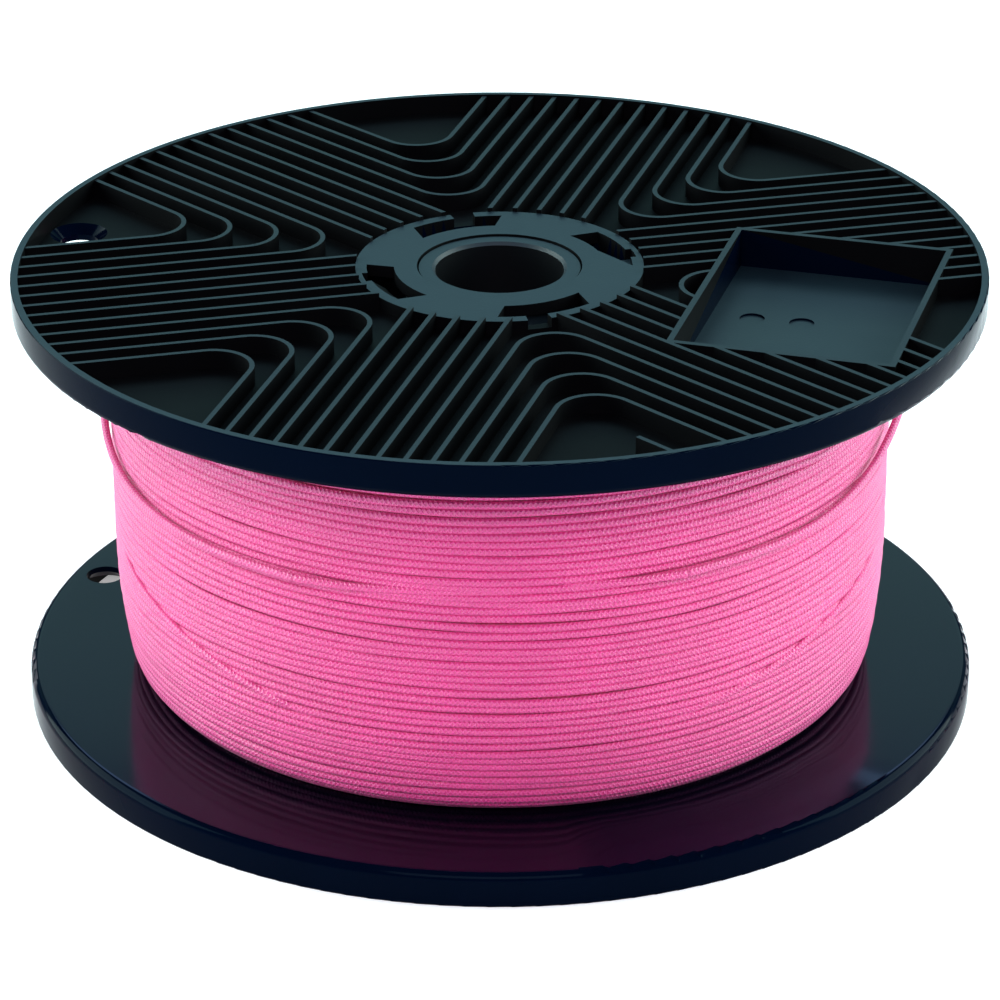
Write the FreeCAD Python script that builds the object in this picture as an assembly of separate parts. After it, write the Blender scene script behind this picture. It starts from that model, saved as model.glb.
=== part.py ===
"""Line spool: two ribbed flanges snapped to a finned hub spindle, a plain barrel between them, and the line.

Millimetres. +Z runs along the bore and the origin is the centre of the lower flange's outer face, so the
spool stands on z = 0. The pieces:

    upper_flange     ribbed disc with rim, windowed hub disc, start hole and the label pocket
    lower_flange     the same moulding without the pocket, turned over
    hub_spindle      bore tube with four fins, whose claws snap into the windows of both hub discs
    core_barrel      plain tube that the line is wound on, held on the flanges' spigots
    line_winding     the wound line, as one closed ring
    line_last_turn   the slack last turn, which stands off the winding on one side
    line_start_knot  the line's inner end, knotted behind the barrel wall
"""
import FreeCAD, Part

import math
import os

# Whole spool
FLANGE_R = 80.0
SPOOL_H = 75.5
BORE_R = 10.6

# Flange plate and rim
FLANGE_T = 5.8
PLATE_T = 2.5
RIM_WALL = 1.25
RIM_BEAD_R = 1.5
RIM_EDGE_R = 0.25

# Ribs: six arms of parallel ribs, the outer ones turning into the next arm
ARM_COUNT = 6
ARM_ANGLE = 73.7
RIB_PITCH = 4.1
RIB_T = 0.8
RIB_BELOW_RIM = 0.3
STRAIGHT_RIBS_EACH_SIDE = 2
TURNED_RIBS = 4
RIB_CORNER_R = 6.3
STUB_RIB_PITCHES = 8
STUB_RIB_START_R = 72.0

# Hub disc and its windows; a window's angles are counted from its start
HUB_INSET = 2.45
HUB_WALL = 1.85
HUB_BELOW_RIM = 1.0
HUB_T = 2.0
WINDOW_W = 4.5
WINDOW_COUNT = 4
WINDOW_INNER_FROM = 2.5
WINDOW_INNER_TO = 47.3
WINDOW_OUTER_FROM = -0.9
WINDOW_OUTER_TO = 41.3
SLANTED_INNER_FROM = 21.0
NOTCH_FROM = 11.0
NOTCH_SPAN = 9.5
NOTCH_DEPTH = 1.6
LEDGE_W = 2.3
LEDGE_DROP = 1.6
LEDGE_FROM = 18.5

# Label pocket
POCKET_RADIAL = 34.6
POCKET_TANGENTIAL = 48.2
POCKET_WALL = 1.0
POCKET_DEPTH = 6.8
POCKET_FLOOR_T = 1.2
POCKET_CENTRE_R = 52.5
POCKET_ANGLE = -15.9
EJECTOR_MARK_R = 2.05
EJECTOR_MARK_DEPTH = 0.35
EJECTOR_MARKS = ((-10.5, 2.7), (-2.3, 2.9))

# Start hole for the line, and how the lower flange is turned over
START_HOLE_R = 3.25
START_HOLE_AT_R = 73.7
START_HOLE_ANGLE = 164.4
START_FUNNEL_R = 4.8
START_FUNNEL_DEPTH = 1.5
TURN_OVER_ANGLE = 162.75

# Barrel, spigots and spindle
BARREL_R = 30.0
BARREL_WALL = 2.0
SPIGOT_H = 5.0
SPIGOT_WALL = 1.6
SPIGOT_GAP = 0.25
TUBE_WALL = 2.7
TUBE_GAP = 0.3
TUBE_CHAMFER = 0.5
TUBE_BELOW_HUB = 0.35
SHOULDER_W = 2.2
SHOULDER_H = 3.0
FIN_T = 2.0
FIN_GAP = 0.3
FIN_END_GAP = 1.5

# Claws
CLAW_T = 1.8
CLAW_GAP = 0.35
CLAW_AT = 13.2
CLAW_SPAN = 7.0
STEP_SIDE_ANGLE = 1.0
CLAW_BELOW_HUB = 1.7
CLAW_RAMP_H = 1.0
CLAW_RAMP_SLOPE = 0.7
CLAW_ROOT_H = 10.0
NIB_REACH = 1.2
NIB_H = 1.1
NIB_GAP = 0.1

# Line
LINE_D = 1.3
WINDING_R = 64.7
WINDING_TAPER = 2.5
WINDING_TAPER_H = 24.0
WINDING_LOW_EDGE_R = 5.4
WINDING_TOP_EDGE_R = 1.5
WINDING_GAP = 0.3
WINDING_FACE_GAP = 0.05
KNOT_R = 2.2
KNOT_ANGLE = 160.0
KNOT_Z = 17.0
KNOT_HOLE_R = 1.1
KNOT_SEAT_GAP = 0.1

# Centre line of the slack last turn: angle, distance out from the winding's surface, height
LAST_TURN = (
    (-64.0, 0.95, 47.3),
    (-55.0, 0.95, 47.3),
    (-46.0, 0.95, 47.4),
    (-38.0, 1.00, 47.9),
    (-30.0, 1.05, 49.0),
    (-23.0, 1.20, 50.6),
    (-17.0, 1.55, 52.4),
    (-11.0, 2.10, 54.2),
    (-4.0, 2.80, 56.2),
    (4.0, 3.20, 58.4),
    (13.0, 3.10, 60.4),
    (22.0, 2.60, 61.9),
    (32.0, 1.90, 62.9),
    (42.0, 1.35, 63.4),
    (52.0, 1.05, 63.6),
    (62.0, 1.00, 63.6),
    (72.0, 1.00, 63.5),
    (82.0, 1.00, 63.3),
    (92.0, 1.00, 63.0),
    (102.0, 1.00, 62.6),
    (112.0, 1.00, 62.0),
    (122.0, 1.00, 61.3),
    (132.0, 1.00, 60.5),
    (142.0, 1.00, 59.5),
    (152.0, 1.05, 58.3),
    (161.0, 1.10, 56.9),
    (169.0, 1.15, 55.3),
    (176.0, 1.15, 53.5),
    (183.0, 1.15, 51.6),
    (190.0, 1.10, 49.7),
    (197.0, 1.00, 48.0),
    (205.0, 0.95, 46.8),
    (214.0, 0.95, 46.2),
    (223.0, 0.95, 45.9),
    (232.0, 0.95, 45.8),
    (241.0, 0.95, 45.8),
)
ARC_SHARE = 0.45

Z_AXIS = FreeCAD.Vector(0, 0, 1)
ORIGIN = FreeCAD.Vector(0, 0, 0)
SPIGOT_R = BARREL_R - BARREL_WALL - SPIGOT_GAP
HUB_R = SPIGOT_R - SPIGOT_WALL - HUB_INSET
HUB_INNER_R = HUB_R - HUB_WALL
HUB_HOLE_R = BORE_R + TUBE_WALL + TUBE_GAP
WINDOW_R_IN = HUB_INNER_R - WINDOW_W


def polar(radius, angle, z=0.0):
    """Point at a radius and an angle in degrees about the spool's axis."""
    turn = math.radians(angle)
    return FreeCAD.Vector(radius * math.cos(turn), radius * math.sin(turn), z)


def ring(r_in, r_out, z_low, z_high):
    """Plain ring about the axis."""
    height = z_high - z_low
    base = FreeCAD.Vector(0, 0, z_low)
    return Part.makeCylinder(r_out, height, base).cut(Part.makeCylinder(r_in, height, base))


def sector(r_in, r_out, start, span, z_low, z_high):
    """Part of a ring, from the angle start over span degrees, counter-clockwise."""
    height = z_high - z_low
    base = FreeCAD.Vector(0, 0, z_low)
    outer = Part.makeCylinder(r_out, height, base, Z_AXIS, span)
    piece = outer.cut(Part.makeCylinder(r_in, height, base))
    piece.rotate(ORIGIN, Z_AXIS, start)
    return piece


def prism(outline, z_low, z_high):
    """Upright prism over a closed list of points at height 0."""
    face = Part.Face(Part.makePolygon(outline + outline[:1]))
    solid = face.extrude(FreeCAD.Vector(0, 0, z_high - z_low))
    solid.translate(FreeCAD.Vector(0, 0, z_low))
    return solid


def turned_over(shape):
    """A piece of the upper end, turned over to the lower end of the spool."""
    copy = shape.copy()
    middle = FreeCAD.Vector(0, 0, SPOOL_H / 2)
    copy.rotate(middle, polar(1.0, TURN_OVER_ANGLE), 180)
    return copy


def flange_blank():
    """Plate and rim in one turned shape, with the outer face at the top of the spool."""
    top = SPOOL_H
    face = top - FLANGE_T
    floor = face + PLATE_T
    r_inner = FLANGE_R - RIM_WALL
    bead_centre = FreeCAD.Vector(FLANGE_R - RIM_BEAD_R, 0, face + RIM_BEAD_R)
    bead_mid = bead_centre + FreeCAD.Vector(1, 0, -1).normalize() * RIM_BEAD_R
    edge_centre = FreeCAD.Vector(FLANGE_R - RIM_EDGE_R, 0, top - RIM_EDGE_R)
    edge_mid = edge_centre + FreeCAD.Vector(1, 0, 1).normalize() * RIM_EDGE_R
    start = FreeCAD.Vector(HUB_INNER_R, 0, face)
    bead_start = FreeCAD.Vector(FLANGE_R - RIM_BEAD_R, 0, face)
    bead_end = FreeCAD.Vector(FLANGE_R, 0, face + RIM_BEAD_R)
    edge_start = FreeCAD.Vector(FLANGE_R, 0, top - RIM_EDGE_R)
    edge_end = FreeCAD.Vector(FLANGE_R - RIM_EDGE_R, 0, top)
    rim_inner = FreeCAD.Vector(r_inner, 0, top)
    rim_foot = FreeCAD.Vector(r_inner, 0, floor)
    floor_end = FreeCAD.Vector(HUB_INNER_R, 0, floor)
    edges = [
        Part.LineSegment(start, bead_start).toShape(),
        Part.Arc(bead_start, bead_mid, bead_end).toShape(),
        Part.LineSegment(bead_end, edge_start).toShape(),
        Part.Arc(edge_start, edge_mid, edge_end).toShape(),
        Part.LineSegment(edge_end, rim_inner).toShape(),
        Part.LineSegment(rim_inner, rim_foot).toShape(),
        Part.LineSegment(rim_foot, floor_end).toShape(),
        Part.LineSegment(floor_end, start).toShape(),
    ]
    return Part.Face(Part.Wire(edges)).revolve(ORIGIN, Z_AXIS, 360)


def straight_rib(angle, offset, r_from, z_low, z_high):
    """Rib parallel to an arm's centre line, from a radius out past the rim's inner wall."""
    half = RIB_T / 2
    near = math.sqrt(max(r_from ** 2 - offset ** 2, 0))
    outline = [
        FreeCAD.Vector(near, offset - half, 0),
        FreeCAD.Vector(FLANGE_R, offset - half, 0),
        FreeCAD.Vector(FLANGE_R, offset + half, 0),
        FreeCAD.Vector(near, offset + half, 0),
    ]
    rib = prism(outline, z_low, z_high)
    rib.rotate(ORIGIN, Z_AXIS, angle)
    return rib


def turned_rib(bisector, pitches, z_low, z_high):
    """Rib that comes in along one arm, turns a round corner and goes out along the next arm."""
    half_turn = math.radians(180 / ARM_COUNT)
    apex = pitches * RIB_PITCH / math.sin(half_turn)
    centre = FreeCAD.Vector(apex + RIB_CORNER_R / math.sin(half_turn), 0, 0)
    sides = []
    for radius in (RIB_CORNER_R + RIB_T / 2, RIB_CORNER_R - RIB_T / 2):
        touch_x = centre.x - radius * math.sin(half_turn)
        touch_y = radius * math.cos(half_turn)
        end_x = touch_x + FLANGE_R * math.cos(half_turn)
        end_y = touch_y + FLANGE_R * math.sin(half_turn)
        sides.append((touch_x, touch_y, end_x, end_y, centre.x - radius))
    outer, inner = sides
    edges = []
    for side in sides:
        low = FreeCAD.Vector(side[0], -side[1], 0)
        high = FreeCAD.Vector(side[0], side[1], 0)
        far_low = FreeCAD.Vector(side[2], -side[3], 0)
        far_high = FreeCAD.Vector(side[2], side[3], 0)
        edges.append(Part.LineSegment(far_low, low).toShape())
        edges.append(Part.Arc(low, FreeCAD.Vector(side[4], 0, 0), high).toShape())
        edges.append(Part.LineSegment(high, far_high).toShape())
    for sign in (-1, 1):
        end_outer = FreeCAD.Vector(outer[2], sign * outer[3], 0)
        end_inner = FreeCAD.Vector(inner[2], sign * inner[3], 0)
        edges.append(Part.LineSegment(end_outer, end_inner).toShape())
    face = Part.Face(Part.Wire(Part.__sortEdges__(edges)))
    rib = face.extrude(FreeCAD.Vector(0, 0, z_high - z_low))
    rib.translate(FreeCAD.Vector(0, 0, z_low))
    rib.rotate(ORIGIN, Z_AXIS, bisector)
    return rib


def flange_ribs():
    """All the ribs of one flange, trimmed to the recess between the hub wall and the rim."""
    z_low = SPOOL_H - FLANGE_T + PLATE_T / 2
    z_high = SPOOL_H - RIB_BELOW_RIM
    hub_edge = HUB_R - HUB_WALL / 2
    over_hub = Part.makeCylinder(HUB_R, HUB_BELOW_RIM, FreeCAD.Vector(0, 0, SPOOL_H - HUB_BELOW_RIM))
    ribs = []
    for arm in range(ARM_COUNT):
        angle = ARM_ANGLE + arm * 360 / ARM_COUNT
        for step in range(-STRAIGHT_RIBS_EACH_SIDE, STRAIGHT_RIBS_EACH_SIDE + 1):
            rib = straight_rib(angle, step * RIB_PITCH, hub_edge, z_low, z_high)
            ribs.append(rib.cut(over_hub))
        bisector = angle + 180 / ARM_COUNT
        for step in range(TURNED_RIBS):
            pitches = STRAIGHT_RIBS_EACH_SIDE + 1 + step
            ribs.append(turned_rib(bisector, pitches, z_low, z_high))
    stub_arm = ARM_ANGLE + 4 * 360 / ARM_COUNT
    ribs.append(straight_rib(stub_arm, -STUB_RIB_PITCHES * RIB_PITCH, STUB_RIB_START_R, z_low, z_high))
    room = Part.makeCylinder(FLANGE_R - RIM_WALL / 2, SPOOL_H)
    return [rib.common(room) for rib in ribs]


def hub_disc():
    """Raised hub disc on its wall, with four windows between the disc and the wall."""
    top = SPOOL_H - HUB_BELOW_RIM
    floor = SPOOL_H - FLANGE_T
    disc = ring(HUB_HOLE_R, HUB_R, top - HUB_T, top)
    wall = ring(HUB_INNER_R, HUB_R, floor, top)
    hub = disc.fuse(wall)
    for index in range(WINDOW_COUNT):
        start = index * 360 / WINDOW_COUNT
        if index == 0:
            hub = hub.cut(window(start, SLANTED_INNER_FROM))
        elif index == 2:
            hub = hub.cut(ledge_window(start))
        else:
            notch = sector(HUB_INNER_R, FLANGE_R, start + NOTCH_FROM, NOTCH_SPAN, top - NOTCH_DEPTH, top)
            hub = hub.cut([window(start, WINDOW_INNER_FROM), notch])
    return hub


def window(start, inner_from):
    """Cutter for one window: two arcs about the axis, joined by slanted ends."""
    corners = []
    for radius, angle in (
        (WINDOW_R_IN, inner_from),
        (WINDOW_R_IN, (inner_from + WINDOW_INNER_TO) / 2),
        (WINDOW_R_IN, WINDOW_INNER_TO),
        (HUB_INNER_R, WINDOW_OUTER_TO),
        (HUB_INNER_R, (WINDOW_OUTER_FROM + WINDOW_OUTER_TO) / 2),
        (HUB_INNER_R, WINDOW_OUTER_FROM),
    ):
        corners.append(polar(radius, start + angle, SPOOL_H - FLANGE_T))
    edges = [
        Part.Arc(*corners[:3]).toShape(),
        Part.LineSegment(corners[2], corners[3]).toShape(),
        Part.Arc(*corners[3:]).toShape(),
        Part.LineSegment(corners[5], corners[0]).toShape(),
    ]
    return Part.Face(Part.Wire(edges)).extrude(FreeCAD.Vector(0, 0, FLANGE_T))


def ledge_window(start):
    """Cutters for the window whose outer half keeps a ledge that slopes down towards the axis."""
    top = SPOOL_H - HUB_BELOW_RIM
    floor = SPOOL_H - FLANGE_T
    whole = window(start, WINDOW_INNER_FROM)
    r_ledge = HUB_INNER_R - LEDGE_W
    span = WINDOW_INNER_TO - LEDGE_FROM
    ledge = sector(r_ledge, HUB_R, start + LEDGE_FROM, span, floor, top)
    slope = Part.makeCone(r_ledge, HUB_INNER_R, LEDGE_DROP, FreeCAD.Vector(0, 0, top - LEDGE_DROP))
    return [whole.cut(ledge), whole.common(slope)]


def claw_windows():
    """Starts of the two windows that the claws of one end come up through."""
    return (0, 360 * 2 / WINDOW_COUNT)


def claw_step(window_start):
    """Step in the hub wall that a claw's nib rests on, open at the top."""
    top = SPOOL_H - HUB_BELOW_RIM
    span = CLAW_SPAN + 2 * STEP_SIDE_ANGLE
    reach = HUB_INNER_R - CLAW_GAP + NIB_REACH + NIB_GAP
    start = window_start + CLAW_AT - span / 2
    return sector(HUB_INNER_R, reach, start, span, top - CLAW_BELOW_HUB - NIB_H, top)


def pocket_frame(shape):
    """Place a shape, drawn about the pocket's own centre with x pointing outwards, on the flange."""
    shape.translate(FreeCAD.Vector(POCKET_CENTRE_R, 0, 0))
    shape.rotate(ORIGIN, Z_AXIS, POCKET_ANGLE)
    return shape


def pocket_block(grow, z_low, z_high):
    """Block over the pocket's plan, grown on every side."""
    length = POCKET_RADIAL + 2 * grow
    width = POCKET_TANGENTIAL + 2 * grow
    corner = FreeCAD.Vector(-length / 2, -width / 2, z_low)
    return pocket_frame(Part.makeBox(length, width, z_high - z_low, corner))


def pocket_bottom():
    """Height of the pocket's underside, which stands into the winding space."""
    return SPOOL_H - POCKET_DEPTH - POCKET_FLOOR_T


def label_pocket():
    """Thin-walled tray with two ejector marks in its floor."""
    z_floor = SPOOL_H - POCKET_DEPTH
    z_top = SPOOL_H - RIB_BELOW_RIM
    tray = pocket_block(POCKET_WALL, pocket_bottom(), z_top)
    tray = tray.cut(pocket_block(0, z_floor, SPOOL_H))
    for across, along in EJECTOR_MARKS:
        corner = FreeCAD.Vector(across, along, z_floor - EJECTOR_MARK_DEPTH)
        mark = Part.makeCylinder(EJECTOR_MARK_R, SPOOL_H, corner)
        tray = tray.cut(pocket_frame(mark))
    return tray


def spigot():
    """Ring under the flange that centres the barrel."""
    face = SPOOL_H - FLANGE_T
    return ring(SPIGOT_R - SPIGOT_WALL, SPIGOT_R, face - SPIGOT_H, face + PLATE_T / 2)


def flange(has_pocket):
    """One flange at the top of the spool."""
    body = flange_blank().fuse([hub_disc(), spigot()] + flange_ribs())
    if has_pocket:
        body = body.cut(pocket_block(POCKET_WALL / 2, pocket_bottom(), SPOOL_H))
        body = body.fuse(label_pocket())
    steps = [claw_step(start) for start in claw_windows()]
    return body.cut(start_hole() + steps).removeSplitter()


def start_hole():
    """Cutters for the hole that the line's end passes through, with a funnel on the recess side."""
    floor = SPOOL_H - FLANGE_T + PLATE_T
    hole = Part.makeCylinder(START_HOLE_R, SPOOL_H, polar(START_HOLE_AT_R, START_HOLE_ANGLE))
    funnel_start = polar(START_HOLE_AT_R, START_HOLE_ANGLE, floor - START_FUNNEL_DEPTH)
    return [hole, Part.makeCone(START_HOLE_R, START_FUNNEL_R, START_FUNNEL_DEPTH, funnel_start)]


def claw(window_start):
    """Tongue that rises through a window and rests its nib on the step in the hub wall."""
    top = SPOOL_H - HUB_BELOW_RIM - CLAW_BELOW_HUB
    r_out = HUB_INNER_R - CLAW_GAP
    start = window_start + CLAW_AT - CLAW_SPAN / 2
    root = SPOOL_H - FLANGE_T - CLAW_ROOT_H
    tongue = sector(r_out - CLAW_T, r_out, start, CLAW_SPAN, root, top)
    nib = sector(r_out - CLAW_T / 2, r_out + NIB_REACH, start, CLAW_SPAN, top - NIB_H, top)
    ramp_r = r_out - CLAW_T
    ramp_reach = CLAW_RAMP_H / CLAW_RAMP_SLOPE
    ramp = Part.makeCone(ramp_r, ramp_r + 2 * ramp_reach, 2 * CLAW_RAMP_H, FreeCAD.Vector(0, 0, top - CLAW_RAMP_H))
    keep = Part.makeCylinder(FLANGE_R, top, ORIGIN).cut(ramp)
    return tongue.fuse(nib).common(keep)


def spindle_end():
    """The two fins that carry claws at the upper end, with their claws."""
    z_low = FLANGE_T + FIN_END_GAP + SPIGOT_H
    z_high = SPOOL_H - z_low
    r_out = BARREL_R - BARREL_WALL - FIN_GAP
    pieces = []
    for window_start in claw_windows():
        angle = window_start + CLAW_AT
        outline = [
            FreeCAD.Vector(BORE_R + TUBE_WALL / 2, -FIN_T / 2, 0),
            FreeCAD.Vector(r_out, -FIN_T / 2, 0),
            FreeCAD.Vector(r_out, FIN_T / 2, 0),
            FreeCAD.Vector(BORE_R + TUBE_WALL / 2, FIN_T / 2, 0),
        ]
        fin = prism(outline, z_low, z_high)
        fin.rotate(ORIGIN, Z_AXIS, angle)
        pieces.append(fin)
        pieces.append(claw(window_start))
    return pieces


def hub_spindle():
    """Bore tube with shoulders under both hub discs, four fins and four claws."""
    end = SPOOL_H - HUB_BELOW_RIM - TUBE_BELOW_HUB
    r_out = BORE_R + TUBE_WALL
    shoulder_top = SPOOL_H - HUB_BELOW_RIM - HUB_T
    tube = ring(BORE_R, r_out, SPOOL_H - end, end)
    shoulder = ring(r_out - TUBE_WALL / 2, r_out + SHOULDER_W, shoulder_top - SHOULDER_H, shoulder_top)
    upper = spindle_end() + [shoulder]
    pieces = upper + [turned_over(piece) for piece in upper]
    spindle = tube.fuse(pieces)
    bevel = Part.makeCone(BORE_R, BORE_R + TUBE_CHAMFER, TUBE_CHAMFER,
                          FreeCAD.Vector(0, 0, end - TUBE_CHAMFER))
    spindle = spindle.cut([bevel, turned_over(bevel)])
    return spindle.removeSplitter()


def core_barrel():
    """Plain tube between the flanges' inner faces, with the hole for the line's inner end."""
    tube = ring(BARREL_R - BARREL_WALL, BARREL_R, FLANGE_T, SPOOL_H - FLANGE_T)
    return tube.cut(knot_bar(KNOT_HOLE_R, BARREL_R + BARREL_WALL))


def knot_bar(radius, r_end):
    """Round bar from the knot out through the barrel wall."""
    start = polar(knot_centre_r(), KNOT_ANGLE, KNOT_Z)
    return Part.makeCylinder(radius, r_end - knot_centre_r(), start, polar(1.0, KNOT_ANGLE))


def knot_centre_r():
    """Distance of the knot's centre from the axis, seated on the barrel's inner wall."""
    return BARREL_R - BARREL_WALL - KNOT_R - KNOT_SEAT_GAP


def line_start_knot():
    """The line's inner end: a knot inside the barrel and the bit of line through its wall."""
    knot = Part.makeSphere(KNOT_R, polar(knot_centre_r(), KNOT_ANGLE, KNOT_Z))
    return knot.fuse(knot_bar(LINE_D / 2, BARREL_R)).removeSplitter()


def line_winding():
    """Closed ring of wound line, a little narrower towards its rounded lower edge, clear of the pocket."""
    z_low = FLANGE_T + WINDING_FACE_GAP
    z_high = SPOOL_H - FLANGE_T - WINDING_FACE_GAP
    z_taper = z_low + WINDING_TAPER_H
    taper_r = (WINDING_TAPER_H ** 2 + WINDING_TAPER ** 2) / (2 * WINDING_TAPER)
    taper_centre = FreeCAD.Vector(WINDING_R - taper_r, 0, z_taper)
    drop = WINDING_TAPER_H - WINDING_LOW_EDGE_R
    low_x = taper_centre.x + math.sqrt((taper_r - WINDING_LOW_EDGE_R) ** 2 - drop ** 2)
    low_centre = FreeCAD.Vector(low_x, 0, z_low + WINDING_LOW_EDGE_R)
    low_start = FreeCAD.Vector(low_x, 0, z_low)
    outwards = (low_centre - taper_centre).normalize()
    low_end = low_centre + outwards * WINDING_LOW_EDGE_R
    between = (outwards + FreeCAD.Vector(0, 0, -1)).normalize()
    low_mid = low_centre + between * WINDING_LOW_EDGE_R
    taper_mid = taper_centre + (outwards + FreeCAD.Vector(1, 0, 0)).normalize() * taper_r
    taper_end = FreeCAD.Vector(WINDING_R, 0, z_taper)
    top_centre = FreeCAD.Vector(WINDING_R - WINDING_TOP_EDGE_R, 0, z_high - WINDING_TOP_EDGE_R)
    top_start = FreeCAD.Vector(WINDING_R, 0, top_centre.z)
    top_mid = top_centre + FreeCAD.Vector(1, 0, 1).normalize() * WINDING_TOP_EDGE_R
    top_end = FreeCAD.Vector(top_centre.x, 0, z_high)
    inner_top = FreeCAD.Vector(BARREL_R + WINDING_GAP, 0, z_high)
    inner_low = FreeCAD.Vector(BARREL_R + WINDING_GAP, 0, z_low)
    edges = [
        Part.LineSegment(inner_low, low_start).toShape(),
        Part.Arc(low_start, low_mid, low_end).toShape(),
        Part.Arc(low_end, taper_mid, taper_end).toShape(),
        Part.LineSegment(taper_end, top_start).toShape(),
        Part.Arc(top_start, top_mid, top_end).toShape(),
        Part.LineSegment(top_end, inner_top).toShape(),
        Part.LineSegment(inner_top, inner_low).toShape(),
    ]
    wound = Part.Face(Part.Wire(edges)).revolve(ORIGIN, Z_AXIS, 360)
    return wound.cut(pocket_block(POCKET_WALL + WINDING_GAP, pocket_bottom() - WINDING_GAP, SPOOL_H))


def rounded_path(points):
    """Straight runs joined by tangent arcs, each as large as its two runs allow."""
    edges = []
    radii = []
    start = points[0]
    for before, corner, after in zip(points, points[1:], points[2:]):
        back = (before - corner).normalize()
        ahead = (after - corner).normalize()
        turn = math.pi - back.getAngle(ahead)
        reach = ARC_SHARE * min((before - corner).Length, (after - corner).Length)
        radius = reach / math.tan(turn / 2)
        arc_start = corner + back * reach
        arc_end = corner + ahead * reach
        inwards = (back + ahead).normalize()
        arc_mid = corner + inwards * (math.hypot(radius, reach) - radius)
        edges.append(Part.LineSegment(start, arc_start).toShape())
        edges.append(Part.Arc(arc_start, arc_mid, arc_end).toShape())
        radii.append(radius)
        start = arc_end
    edges.append(Part.LineSegment(start, points[-1]).toShape())
    print("last turn: length %.1f, tightest radius %.1f" % (sum(e.Length for e in edges), min(radii)))
    return Part.Wire(edges)


def line_last_turn():
    """Round tube along the slack last turn."""
    points = [polar(WINDING_R + out, angle, z) for angle, out, z in LAST_TURN]
    path = rounded_path(points)
    section = Part.Wire(Part.makeCircle(LINE_D / 2, points[0], points[1] - points[0]))
    return path.makePipeShell([section], True, False)


def main():
    upper = flange(True)
    pieces = {
        "upper_flange": upper,
        "lower_flange": turned_over(flange(False)),
        "hub_spindle": hub_spindle(),
        "core_barrel": core_barrel(),
        "line_winding": line_winding(),
        "line_last_turn": line_last_turn(),
        "line_start_knot": line_start_knot(),
    }
    os.makedirs("parts", exist_ok=True)
    for name, shape in pieces.items():
        shape.exportStep(os.path.join("parts", name + ".step"))
        print("%-16s solids %d  valid %s  volume %.0f" % (name, len(shape.Solids), shape.isValid(), shape.Volume))


main()
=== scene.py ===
import math

import bpy
from mathutils import Matrix, Vector, noise


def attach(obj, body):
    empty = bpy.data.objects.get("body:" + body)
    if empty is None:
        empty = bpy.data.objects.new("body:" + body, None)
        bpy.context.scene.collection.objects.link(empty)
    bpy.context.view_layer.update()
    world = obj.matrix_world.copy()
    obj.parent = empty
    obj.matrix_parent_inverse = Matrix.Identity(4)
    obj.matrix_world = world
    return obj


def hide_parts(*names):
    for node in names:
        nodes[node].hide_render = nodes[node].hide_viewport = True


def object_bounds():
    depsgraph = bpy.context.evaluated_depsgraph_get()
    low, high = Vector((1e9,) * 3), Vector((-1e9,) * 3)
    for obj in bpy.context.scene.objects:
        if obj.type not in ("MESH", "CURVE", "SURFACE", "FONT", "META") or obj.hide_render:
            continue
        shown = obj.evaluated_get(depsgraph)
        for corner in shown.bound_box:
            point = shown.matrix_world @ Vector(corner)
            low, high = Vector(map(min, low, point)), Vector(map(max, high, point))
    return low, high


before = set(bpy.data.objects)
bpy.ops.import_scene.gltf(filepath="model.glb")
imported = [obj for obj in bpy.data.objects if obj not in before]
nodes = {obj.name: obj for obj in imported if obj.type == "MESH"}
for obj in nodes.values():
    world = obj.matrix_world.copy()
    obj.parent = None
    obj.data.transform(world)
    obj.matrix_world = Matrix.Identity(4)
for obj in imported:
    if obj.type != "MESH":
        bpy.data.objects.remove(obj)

cad_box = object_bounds()

# View. The spool stands on a white sheet and is seen from the front and a little above, through a long
# lens. The camera is aimed a touch below the middle of the spool and is rolled by a tenth of a degree.
spool_top = cad_box[1][2]
elevation = math.radians(25.11)
aim_lower = math.radians(0.446)
roll = math.radians(-0.1)
distance = 0.7025
camera = bpy.data.objects.new("view_camera", bpy.data.cameras.new("view_camera"))
bpy.context.scene.collection.objects.link(camera)
camera.location = (0, -math.cos(elevation) * distance, spool_top / 2 + math.sin(elevation) * distance)
tilt = Matrix.Rotation(math.pi / 2 - elevation - aim_lower, 3, "X") @ Matrix.Rotation(roll, 3, "Z")
camera.rotation_euler = tilt.to_euler()
camera.data.sensor_width = 36.0
camera.data.lens = 150.5
camera.data.clip_start = 0.01
bpy.context.scene.camera = camera
bpy.context.scene.view_settings.view_transform = "Standard"


# Studio. White paper on the floor, a dark bluish room, a soft light on each side, one in front, a cool
# one high at the back that glides over the satin faces, and a faint wide one below it.
world = bpy.data.worlds.new("studio_air")
world.use_nodes = True
world.node_tree.nodes["Background"].inputs["Color"].default_value = (0.04, 0.12, 0.28, 1)
world.node_tree.nodes["Background"].inputs["Strength"].default_value = 0.5
bpy.context.scene.world = world
bpy.ops.object.select_all(action="DESELECT")
bpy.ops.mesh.primitive_plane_add(size=6.0, location=(0, 0, 0))
paper_sheet = bpy.context.object
paper_sheet.name = "paper_sheet"
paper = bpy.data.materials.new("white_paper")
paper.use_nodes = True
paper_shader = paper.node_tree.nodes["Principled BSDF"]
paper_shader.inputs["Base Color"].default_value = (0.9, 0.91, 0.92, 1)
paper_shader.inputs["Roughness"].default_value = 0.9
paper_shader.inputs["Emission Color"].default_value = (1, 1, 1, 1)
paper_shader.inputs["Emission Strength"].default_value = 0.35
paper_sheet.data.materials.append(paper)


def softbox(name, place, aim, width, height, watts, tint):
    """Rectangular soft light that faces a point."""
    lamp = bpy.data.lights.new(name, "AREA")
    lamp.shape = "RECTANGLE"
    lamp.size = width
    lamp.size_y = height
    lamp.energy = watts
    lamp.color = tint
    holder = bpy.data.objects.new(name, lamp)
    bpy.context.scene.collection.objects.link(holder)
    holder.location = place
    holder.rotation_euler = (Vector(aim) - Vector(place)).to_track_quat("-Z", "Y").to_euler()


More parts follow.
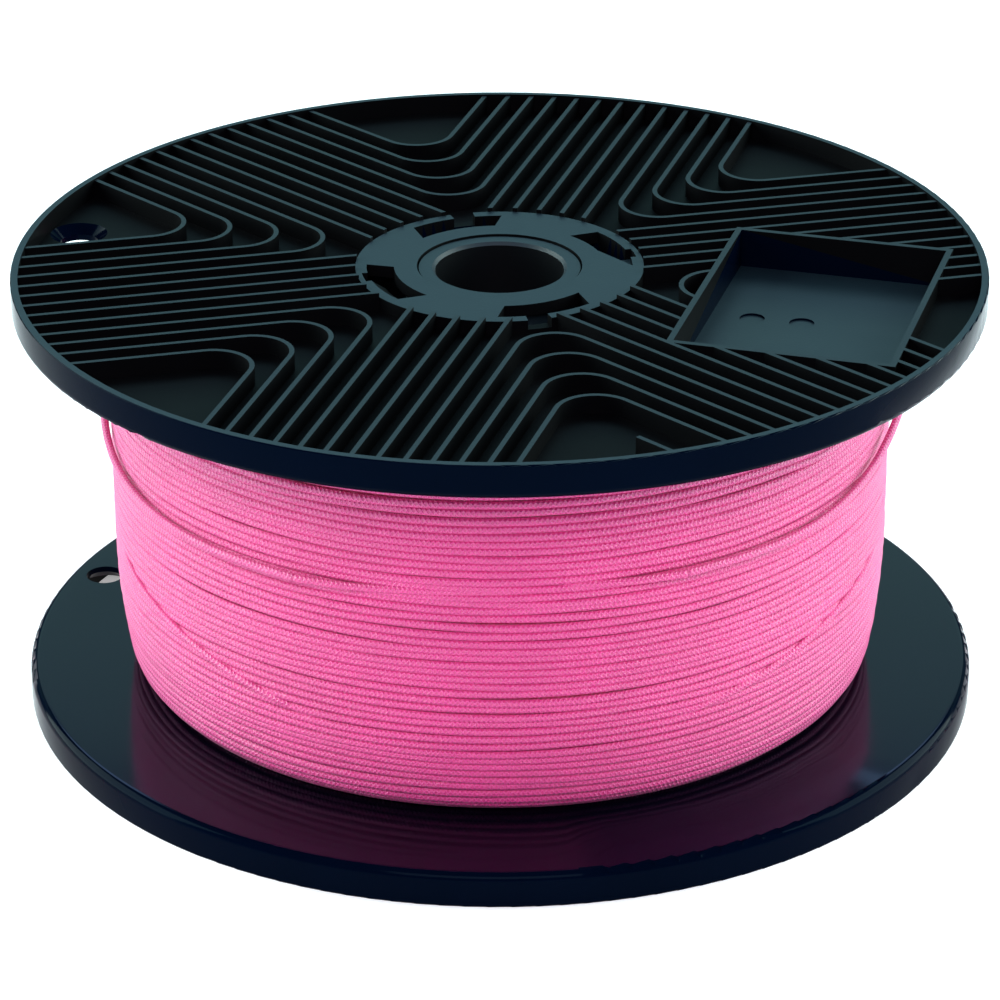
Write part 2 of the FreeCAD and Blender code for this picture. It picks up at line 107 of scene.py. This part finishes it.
softbox("left_softbox", (-0.95, 0.2, 0.4), (0, 0, 0.03), 1.0, 0.8, 19, (0.8, 1.0, 0.95))
softbox("right_softbox", (0.95, 0.2, 0.4), (0, 0, 0.03), 1.0, 0.8, 19, (0.8, 1.0, 0.95))
softbox("front_softbox", (0, -0.9, 0.75), (0, 0, 0.03), 0.9, 0.5, 8.5, (1.0, 0.84, 0.92))
softbox("back_softbox", (0, 0.9, 0.95), (0, 0, 0.07), 1.3, 0.5, 3.6, (0.45, 0.85, 1.0))
softbox("low_back_softbox", (0, 1.3, 0.58), (0, 0, 0.03), 2.6, 0.45, 2.1, (0.5, 1.0, 0.8))


# Slack last turn of the line. Synthetic yarns braided round into a 1.3 mm line, dyed bright pink.
# It lies on the winding, stands off it at the right where it climbs, and comes back down on the left.
line_radius = 0.00065
winding_radius = 0.0647


def maths(tree, operation, first, second=0.0):
    """Maths node on two sockets or numbers; gives its result."""
    node = tree.nodes.new("ShaderNodeMath")
    node.operation = operation
    for place, value in enumerate((first, second)):
        if isinstance(value, (int, float)):
            node.inputs[place].default_value = value
        else:
            tree.links.new(value, node.inputs[place])
    return node.outputs[0]


def colour_mix(tree, share, low, high):
    """Mix of two colours or colour sockets by a share."""
    node = tree.nodes.new("ShaderNodeMix")
    node.data_type = "RGBA"
    tree.links.new(share, node.inputs["Factor"])
    for name, value in (("A", low), ("B", high)):
        socket = [s for s in node.inputs if s.name == name and s.type == "RGBA"][0]
        if isinstance(value, tuple):
            socket.default_value = (*value, 1)
        else:
            tree.links.new(value, socket)
    return [s for s in node.outputs if s.type == "RGBA"][0]


def noise_share(tree, coordinates, scale, detail, low, high):
    """Noise pulled apart to run from 0 to 1 between two of its own values."""
    texture = tree.nodes.new("ShaderNodeTexNoise")
    texture.inputs["Scale"].default_value = scale
    texture.inputs["Detail"].default_value = detail
    tree.links.new(coordinates, texture.inputs["Vector"])
    ramp = tree.nodes.new("ShaderNodeMapRange")
    ramp.inputs["From Min"].default_value = low
    ramp.inputs["From Max"].default_value = high
    tree.links.new(texture.outputs["Fac"], ramp.inputs["Value"])
    return ramp.outputs["Result"]


def braided_line(name, yarn, groove_shade_colour, yarns_per_mm, relief):
    """Braid over a tube whose u runs along the line in millimetres and whose v runs once round it."""
    material = bpy.data.materials.new(name)
    material.use_nodes = True
    tree = material.node_tree
    shader = tree.nodes["Principled BSDF"]
    places = tree.nodes.new("ShaderNodeTexCoord")
    split = tree.nodes.new("ShaderNodeSeparateXYZ")
    tree.links.new(places.outputs["UV"], split.inputs[0])
    along = maths(tree, "MULTIPLY", split.outputs[0], 2 * math.pi * yarns_per_mm)
    around = maths(tree, "MULTIPLY", split.outputs[1], 2 * math.pi * 4)
    one_way = maths(tree, "SINE", maths(tree, "ADD", along, around))
    other_way = maths(tree, "SINE", maths(tree, "SUBTRACT", along, around))
    braid = maths(tree, "MAXIMUM", one_way, other_way)
    height = maths(tree, "MULTIPLY", maths(tree, "ADD", braid, 0.4), 0.72)
    height.node.use_clamp = True
    fibres = noise_share(tree, places.outputs["Object"], 5200, 2, 0.3, 0.7)
    patches = noise_share(tree, places.outputs["Object"], 90, 3, 0.3, 0.7)
    worn = colour_mix(tree, patches, yarn, tuple(channel * 0.86 for channel in yarn))
    shader.inputs["Sheen Weight"].default_value = 0.25
    shader.inputs["Sheen Roughness"].default_value = 0.35
    shader.inputs["Sheen Tint"].default_value = (1.0, 0.9, 0.86, 1)
    shader.inputs["IOR"].default_value = 1.7
    shader.inputs["Specular IOR Level"].default_value = 0.7
    # The braid's low parts take the darker groove colour, which is painted shade between the yarns. The same
    # height also drives the bump.
    tree.links.new(colour_mix(tree, height, groove_shade_colour, worn), shader.inputs["Base Color"])
    rough = maths(tree, "MULTIPLY_ADD", fibres, 0.16)
    rough.node.inputs[2].default_value = 0.32
    tree.links.new(rough, shader.inputs["Roughness"])
    fuzz = maths(tree, "MULTIPLY", fibres, 0.25)
    bump = tree.nodes.new("ShaderNodeBump")
    bump.inputs["Strength"].default_value = 0.7
    bump.inputs["Distance"].default_value = relief
    tree.links.new(maths(tree, "ADD", height, fuzz), bump.inputs["Height"])
    tree.links.new(bump.outputs["Normal"], shader.inputs["Normal"])
    return material


def tube(name, route, radius, sides):
    """Closed round tube along a list of points, with u in millimetres along it and v round it."""
    corners = []
    lengths = [0.0]
    side = Vector((0, 0, 1))
    for index, point in enumerate(route):
        ahead = route[min(index + 1, len(route) - 1)]
        behind = route[max(index - 1, 0)]
        along = (ahead - behind).normalized()
        side = (side - along * side.dot(along)).normalized()
        across = along.cross(side)
        for step in range(sides):
            turn = 2 * math.pi * step / sides
            corners.append(point + (side * math.cos(turn) + across * math.sin(turn)) * radius)
        lengths.append(lengths[-1] + (ahead - point).length)
    faces = [tuple(reversed(range(sides)))]
    unrolled = [(0.0, 0.0)] * sides
    for index in range(len(route) - 1):
        low = index * sides
        start = lengths[index] * 1000
        end = lengths[index + 1] * 1000
        for step in range(sides):
            following = (step + 1) % sides
            faces.append((low + step, low + following, low + sides + following, low + sides + step))
            near = step / sides
            far = (step + 1) / sides
            unrolled += [(start, near), (start, far), (end, far), (end, near)]
    last = (len(route) - 1) * sides
    faces.append(tuple(range(last, last + sides)))
    unrolled += [(0.0, 0.0)] * sides
    mesh = bpy.data.meshes.new(name)
    mesh.from_pydata(corners, [], faces)
    layer = mesh.uv_layers.new(name="UVMap")
    layer.data.foreach_set("uv", [value for pair in unrolled for value in pair])
    mesh.polygons.foreach_set("use_smooth", [True] * len(faces))
    piece = bpy.data.objects.new(name, mesh)
    bpy.context.scene.collection.objects.link(piece)
    return piece


def smooth_route(name, points, steps):
    """Points of a smooth curve that starts and ends on the first and last of the given points."""
    curve = bpy.data.curves.new(name, "CURVE")
    curve.dimensions = "3D"
    curve.resolution_u = steps
    spline = curve.splines.new("NURBS")
    spline.points.add(len(points) - 1)
    for control, point in zip(spline.points, points):
        control.co = (*point, 1)
    spline.order_u = 3
    spline.use_endpoint_u = True
    holder = bpy.data.objects.new(name, curve)
    bpy.context.scene.collection.objects.link(holder)
    bpy.context.view_layer.update()
    mesh = bpy.data.meshes.new_from_object(holder)
    route = [corner.co.copy() for corner in mesh.vertices]
    bpy.data.objects.remove(holder)
    bpy.data.meshes.remove(mesh)
    return route


def beside_winding(degrees, out, height):
    """Point at an angle round the spool, a distance out from the winding's surface, and a height."""
    turn = math.radians(degrees)
    reach = winding_radius + out
    return Vector((math.cos(turn) * reach, math.sin(turn) * reach, height))


last_turn_points = [
    beside_winding(-64, 0.00095, 0.0473),
    beside_winding(-55, 0.00095, 0.0473),
    beside_winding(-46, 0.00095, 0.0474),
    beside_winding(-38, 0.00100, 0.0479),
    beside_winding(-30, 0.00105, 0.0490),
    beside_winding(-23, 0.00120, 0.0506),
    beside_winding(-17, 0.00155, 0.0524),
    beside_winding(-11, 0.00210, 0.0542),
    beside_winding(-4, 0.00280, 0.0562),
    beside_winding(4, 0.00320, 0.0584),
    beside_winding(13, 0.00310, 0.0604),
    beside_winding(22, 0.00260, 0.0619),
    beside_winding(32, 0.00190, 0.0629),
    beside_winding(42, 0.00135, 0.0634),
    beside_winding(52, 0.00105, 0.0636),
    beside_winding(62, 0.00100, 0.0636),
    beside_winding(72, 0.00100, 0.0635),
    beside_winding(82, 0.00100, 0.0633),
    beside_winding(92, 0.00100, 0.0630),
    beside_winding(102, 0.00100, 0.0626),
    beside_winding(112, 0.00100, 0.0620),
    beside_winding(122, 0.00100, 0.0613),
    beside_winding(132, 0.00100, 0.0605),
    beside_winding(142, 0.00100, 0.0595),
    beside_winding(152, 0.00105, 0.0583),
    beside_winding(161, 0.00110, 0.0569),
    beside_winding(169, 0.00115, 0.0553),
    beside_winding(176, 0.00115, 0.0535),
    beside_winding(183, 0.00115, 0.0516),
    beside_winding(190, 0.00110, 0.0497),
    beside_winding(197, 0.00100, 0.0480),
    beside_winding(205, 0.00095, 0.0468),
    beside_winding(214, 0.00095, 0.0462),
    beside_winding(223, 0.00095, 0.0459),
    beside_winding(232, 0.00095, 0.0458),
    beside_winding(241, 0.00095, 0.0458),
]
last_turn_route = smooth_route("last_turn_route", last_turn_points, 40)
last_turn = tube("line_last_turn_braid", last_turn_route, line_radius, 12)
# The second colour is the braid's painted shade between the yarns.
last_turn_braid = braided_line("braid_slack_turn", (0.85, 0.052, 0.32), (0.66, 0.01, 0.18), 1.33, 0.00022)
last_turn.data.materials.append(last_turn_braid)
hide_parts("line_last_turn")
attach(last_turn, "root")


# Winding. The same line laid turn beside turn on top of the layers below. The turns run a little
# unevenly, bulge under the label pocket, part in the front where the slack turn sinks in, and cross twice.
# The second colour of each braid is painted shade between the yarns.
winding_braid = braided_line("braid_wound_turns", (0.84, 0.038, 0.305), (0.70, 0.008, 0.18), 1.33, 0.00022)
# The turns below and the core show only in the grooves between the outer turns. They take a redder, more
# saturated pink than the outer turns of the same line, as painted light bounced between the turns.
under_braid_painted_light = braided_line("braid_under_turns_painted_light", (0.95, 0.02, 0.24), (0.85, 0.01, 0.18), 1.33, 0.00014)


def section_line():
    """Centres of the turns in section, from the lower flange up: radius and height."""
    low_edge_at = (0.05773, 0.01125)
    low_edge_radius = 0.00475
    taper_low = 0.0105
    taper_top = 0.02985
    taper_steps = 24
    taper_centre = winding_radius - 0.11645
    taper_radius = 0.1158
    top_edge_at = (0.0632, 0.06815)
    top_edge_radius = 0.00085
    line = []
    for step in range(17):
        turn = math.radians(-90 + step * 5)
        across = low_edge_at[0] + low_edge_radius * math.cos(turn)
        line.append((across, low_edge_at[1] + low_edge_radius * math.sin(turn)))
    for step in range(1, taper_steps + 1):
        height = taper_low + step * (taper_top - taper_low) / taper_steps
        across = taper_centre + math.sqrt(taper_radius ** 2 - (taper_top - height) ** 2)
        line.append((across, height))
    line.append((winding_radius - line_radius, top_edge_at[1]))
    for step in range(1, 7):
        turn = math.radians(step * 15)
        across = top_edge_at[0] + top_edge_radius * math.cos(turn)
        line.append((across, top_edge_at[1] + top_edge_radius * math.sin(turn)))
    return line


def on_section(line, travel):
    """Radius and height after some travel along the section line."""
    for start, end in zip(line, line[1:]):
        step = math.hypot(end[0] - start[0], end[1] - start[1])
        if travel <= step:
            share = travel / step
            return start[0] + (end[0] - start[0]) * share, start[1] + (end[1] - start[1]) * share
        travel -= step
    return line[-1]


def eased(value):
    """0 below 0, 1 above 1, smooth between."""
    value = min(max(value, 0.0), 1.0)
    return value * value * (3 - 2 * value)


turn_pitch = 0.00131
surface_unevenness = 0.00012
pocket_side = -15.9
pocket_half_span = 22
pocket_fade = 9
squeezed_above = 0.058
squeezed_by = 0.23
pocket_bulge = 0.00042
sink_side = -91
sink_half_span = 24
sink_fade = 12
sink_height = 0.0467
sink_reach = 0.003
sink_gap = 0.00014


def wound_route(inset, steps_per_turn, seed, wander):
    """Route of one layer of turns, inset below the outermost one."""
    line = section_line()
    length = sum(math.hypot(b[0] - a[0], b[1] - a[1]) for a, b in zip(line, line[1:]))
    turns = length / turn_pitch
    route = []
    for step in range(int(turns * steps_per_turn) + 1):
        turn = step / steps_per_turn
        angle = 2 * math.pi * turn - math.pi / 2
        heading = Vector((math.cos(angle), math.sin(angle), 0))
        drift = noise.noise(heading * 0.9 + Vector((0, 0, turn * 0.21 + seed))) * wander
        shiver = noise.noise(heading * 2.5 + Vector((0, 0, turn * 1.9 + seed))) * wander * 0.5
        travel = min(max(turn * turn_pitch + drift + shiver, 0.0), length)
        radius, height = on_section(line, travel)
        swell = noise.noise(heading * 1.7 + Vector((0, 0, turn * 1.3 - seed)))
        radius += swell * surface_unevenness - inset
        degrees = math.degrees(math.atan2(heading.y, heading.x))
        pocket = 1 - eased((abs(degrees - pocket_side) - pocket_half_span) / pocket_fade)
        if height > squeezed_above:
            height -= (height - squeezed_above) * squeezed_by * pocket
            radius += pocket_bulge * pocket * (0.5 + 0.5 * math.cos(math.pi * turn))
        front = 1 - eased((abs(degrees - sink_side) - sink_half_span) / sink_fade)
        away = height - sink_height
        height += math.copysign(sink_gap * front * math.exp(-(away / sink_reach) ** 2), away)
        route.append(heading * radius + Vector((0, 0, height)))
    return route


bpy.ops.object.select_all(action="DESELECT")
winding_core = bpy.data.objects.new("line_winding_core", nodes["line_winding"].data.copy())
bpy.context.scene.collection.objects.link(winding_core)
bpy.context.view_layer.objects.active = winding_core
winding_core.select_set(True)
bpy.ops.object.mode_set(mode="EDIT")
bpy.ops.mesh.select_all(action="SELECT")
bpy.ops.mesh.remove_doubles(threshold=0.00001)
bpy.ops.transform.shrink_fatten(value=-0.0021)
bpy.ops.object.mode_set(mode="OBJECT")
winding_core.data.materials.clear()
winding_core.data.materials.append(under_braid_painted_light)
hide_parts("line_winding")
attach(winding_core, "root")

under_turns = tube("line_winding_under_turns", wound_route(0.0012, 90, 7.3, 0.0002), line_radius, 6)
under_turns.data.materials.append(under_braid_painted_light)
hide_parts("line_winding")
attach(under_turns, "root")

outer_turns = tube("line_winding_outer_turns", wound_route(0.0001, 180, 2.1, 0.0007), 0.00075, 8)
outer_turns.data.materials.append(winding_braid)
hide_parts("line_winding")
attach(outer_turns, "root")

for crossing_name, crossing_points in (
    ("line_tuck_right", [(-64, 0.95, 47.3), (-69, 0.6, 47.3), (-75, -0.1, 47.3), (-81, -0.8, 47.4),
                         (-88, -1.9, 47.5)]),
    ("line_tuck_left", [(241, 0.95, 45.8), (246, 0.6, 45.85), (252, 0.0, 46.1), (259, -0.45, 46.4),
                        (267, -0.5, 46.7), (275, -0.6, 46.9), (283, -1.1, 47.0), (290, -1.9, 47.0)]),
    ("line_crossing_left", [(186, -1.9, 33.0), (194, -0.6, 31.8), (202, 0.15, 30.2), (212, 0.2, 28.2),
                            (222, 0.1, 26.0), (232, -0.1, 23.6), (240, -0.8, 21.6), (247, -2.0, 20.0)]),
    ("line_crossing_right", [(-72, -2.0, 20.0), (-64, -0.9, 21.6), (-55, -0.2, 23.4), (-45, 0.05, 25.6),
                             (-34, 0.15, 28.4), (-24, 0.1, 30.8), (-15, -0.6, 32.4), (-7, -1.9, 33.4)]),
):
    points = [beside_winding(degrees, out / 1000, height / 1000) for degrees, out, height in crossing_points]
    crossing = tube(crossing_name, smooth_route(crossing_name + "_route", points, 16), line_radius, 10)
    crossing.data.materials.append(winding_braid)
    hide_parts("line_winding")
    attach(crossing, "root")


# Knot at the line's inner end. An overhand knot pulled tight behind the barrel wall, so that the line
# can't slip back out through its hole; the short straight bit lies in the wall.
knot_angle = math.radians(160)
knot_loop = 0.00047
knot_thickness = 0.0009
knot_height = 0.017
outwards = Vector((math.cos(knot_angle), math.sin(knot_angle), 0))
sideways = Vector((-math.sin(knot_angle), math.cos(knot_angle), 0))
knot_centre = outwards * 0.0257 + Vector((0, 0, knot_height))
knot_points = []
for step in range(23):
    turn = math.radians(20 + step * 14.5)
    across = knot_loop * (math.sin(turn) + 2 * math.sin(2 * turn))
    upwards = knot_loop * (math.cos(turn) - 2 * math.cos(2 * turn))
    deep = -knot_thickness * math.sin(3 * turn)
    knot_points.append(knot_centre + sideways * across + Vector((0, 0, upwards)) + outwards * deep)
knot_points.append(outwards * 0.0268 + Vector((0, 0, 0.0171)))
knot_points.append(outwards * 0.0285 + Vector((0, 0, knot_height)))
knot_points.append(outwards * 0.03 + Vector((0, 0, knot_height)))
knot = tube("line_start_knot_tied", smooth_route("knot_route", knot_points, 10), 0.00055, 12)
knot.data.materials.append(winding_braid)
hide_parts("line_start_knot")
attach(knot, "root")


# Flanges. Two injection mouldings in black plastic. The rims and the faces towards the line are polished,
# and the hub disc and pocket floor are satin. The rib tops get a slightly darker satin black as painted
# shade, and the recess between the ribs stays dull, with a much darker colour that is painted shade.
def moulded_plastic(name, colour, rough, specular, grain, grain_depth, tint=(1.0, 1.0, 1.0), ior=1.5):
    """Black moulded plastic with a little unevenness in its gloss, colour and surface."""
    material = bpy.data.materials.new(name)
    material.use_nodes = True
    tree = material.node_tree
    shader = tree.nodes["Principled BSDF"]
    places = tree.nodes.new("ShaderNodeTexCoord")
    flow = noise_share(tree, places.outputs["Object"], 45, 3, 0.3, 0.7)
    fine = noise_share(tree, places.outputs["Object"], grain, 2, 0.3, 0.7)
    darker = tuple(channel * 0.8 for channel in colour)
    tree.links.new(colour_mix(tree, flow, darker, colour), shader.inputs["Base Color"])
    gloss = maths(tree, "MULTIPLY_ADD", flow, rough * 0.25)
    gloss.node.inputs[2].default_value = rough
    tree.links.new(gloss, shader.inputs["Roughness"])
    shader.inputs["Specular IOR Level"].default_value = specular
    shader.inputs["Specular Tint"].default_value = (*tint, 1)
    shader.inputs["IOR"].default_value = ior
    bump = tree.nodes.new("ShaderNodeBump")
    bump.inputs["Strength"].default_value = 0.35
    bump.inputs["Distance"].default_value = grain_depth
    tree.links.new(fine, bump.inputs["Height"])
    tree.links.new(bump.outputs["Normal"], shader.inputs["Normal"])
    return material


def moulding(name, node_name):
    """Merged copy of a CAD mesh, smooth across its round walls."""
    piece = bpy.data.objects.new(name, nodes[node_name].data.copy())
    bpy.context.scene.collection.objects.link(piece)
    bpy.ops.object.select_all(action="DESELECT")
    bpy.context.view_layer.objects.active = piece
    piece.select_set(True)
    bpy.ops.mesh.customdata_custom_splitnormals_clear()
    bpy.ops.object.mode_set(mode="EDIT")
    bpy.ops.mesh.select_all(action="SELECT")
    bpy.ops.mesh.remove_doubles(threshold=0.000002)
    bpy.ops.object.mode_set(mode="OBJECT")
    bpy.ops.object.shade_smooth_by_angle(angle=math.radians(28))
    piece.data.materials.clear()
    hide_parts(node_name)
    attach(piece, "root")
    return piece


polished_black = moulded_plastic("polished_black", (0.0004, 0.002, 0.008), 0.1, 0.5, 160, 0.000002,
                                 (0.4, 0.75, 1.0), 1.08)
inner_black = moulded_plastic("inner_black", (0.001, 0.001, 0.004), 0.12, 0.5, 160, 0.000002,
                              (0.4, 0.22, 0.85), 1.38)
# The recess black is much darker than the satin black of the same moulding: painted shade in the recess
# between the ribs.
recess_black_painted_shade = moulded_plastic("recess_black_painted_shade", (0.0012, 0.0014, 0.002), 0.45, 0.06, 700, 0.000004)
satin_black = moulded_plastic("satin_black", (0.006, 0.017, 0.025), 0.42, 0.4, 2600, 0.00002)
# The rib tops take a darker copy of the satin black: painted shade on the narrow rib tops.
rib_top_painted_shade = moulded_plastic("rib_top_painted_shade", (0.006, 0.012, 0.018), 0.36, 0.3, 2600, 0.00002)
polished, satin, recess, rib_top, inner = range(5)
rim_inner_radius = 0.0788
rib_top_depth = (0.0002, 0.0004)
disc_depth = 0.0012
recess_depth = 0.0034
inner_face_depth = 0.0058
pocket_floor_depth = (0.0065, 0.0068)
for moulding_name, flange_node, outer_side in (
    ("flange_upper_moulding", "upper_flange", 1),
    ("flange_lower_moulding", "lower_flange", -1),
):
    flange = moulding(moulding_name, flange_node)
    flange.data.materials.append(polished_black)
    flange.data.materials.append(satin_black)
    flange.data.materials.append(recess_black_painted_shade)
    flange.data.materials.append(rib_top_painted_shade)
    flange.data.materials.append(inner_black)
    outer_face = spool_top if outer_side > 0 else 0.0
    for face in flange.data.polygons:
        depth = (outer_face - face.center.z) * outer_side
        faces_out = face.normal.z * outer_side > 0.9
        inside_rim = math.hypot(face.center.x, face.center.y) < rim_inner_radius
        if faces_out and rib_top_depth[0] < depth < rib_top_depth[1]:
            face.material_index = rib_top
        elif faces_out and (depth < disc_depth or depth > pocket_floor_depth[0]):
            face.material_index = satin
        elif inside_rim and depth < pocket_floor_depth[1] and (faces_out or depth < recess_depth):
            face.material_index = recess
        elif abs(depth - inner_face_depth) < 0.00005:
            face.material_index = inner
        else:
            face.material_index = polished


# Hub spindle. One satin black moulding that holds the spool together: a tube round the bore with four
# fins, whose claws snap over steps in the hub walls. The wall of the bore is smoother, and its darker colour
# is painted shade inside the hole.
hub_satin = moulded_plastic("hub_satin", (0.006, 0.017, 0.025), 0.42, 0.4, 2600, 0.00002)
# The bore colour is darker than the hub's satin black: painted shade inside the hole.
bore_painted_shade = moulded_plastic("bore_painted_shade", (0.003, 0.004, 0.005), 0.3, 0.3, 900, 0.00001)
bore_reach = 0.0108
spindle = moulding("hub_spindle_moulding", "hub_spindle")
spindle.data.materials.append(hub_satin)
spindle.data.materials.append(bore_painted_shade)
for face in spindle.data.polygons:
    upright = abs(face.normal.z) < 0.3
    if upright and math.hypot(face.center.x, face.center.y) < bore_reach:
        face.material_index = 1


# Barrel. A plain black tube that sits on the flanges' spigots and carries the winding. Nothing of it
# shows on a full spool, and it keeps its CAD shape.
barrel_black = moulded_plastic("barrel_black", (0.008, 0.009, 0.011), 0.45, 0.45, 1400, 0.00002)
nodes["core_barrel"].data.materials.clear()
nodes["core_barrel"].data.materials.append(barrel_black)
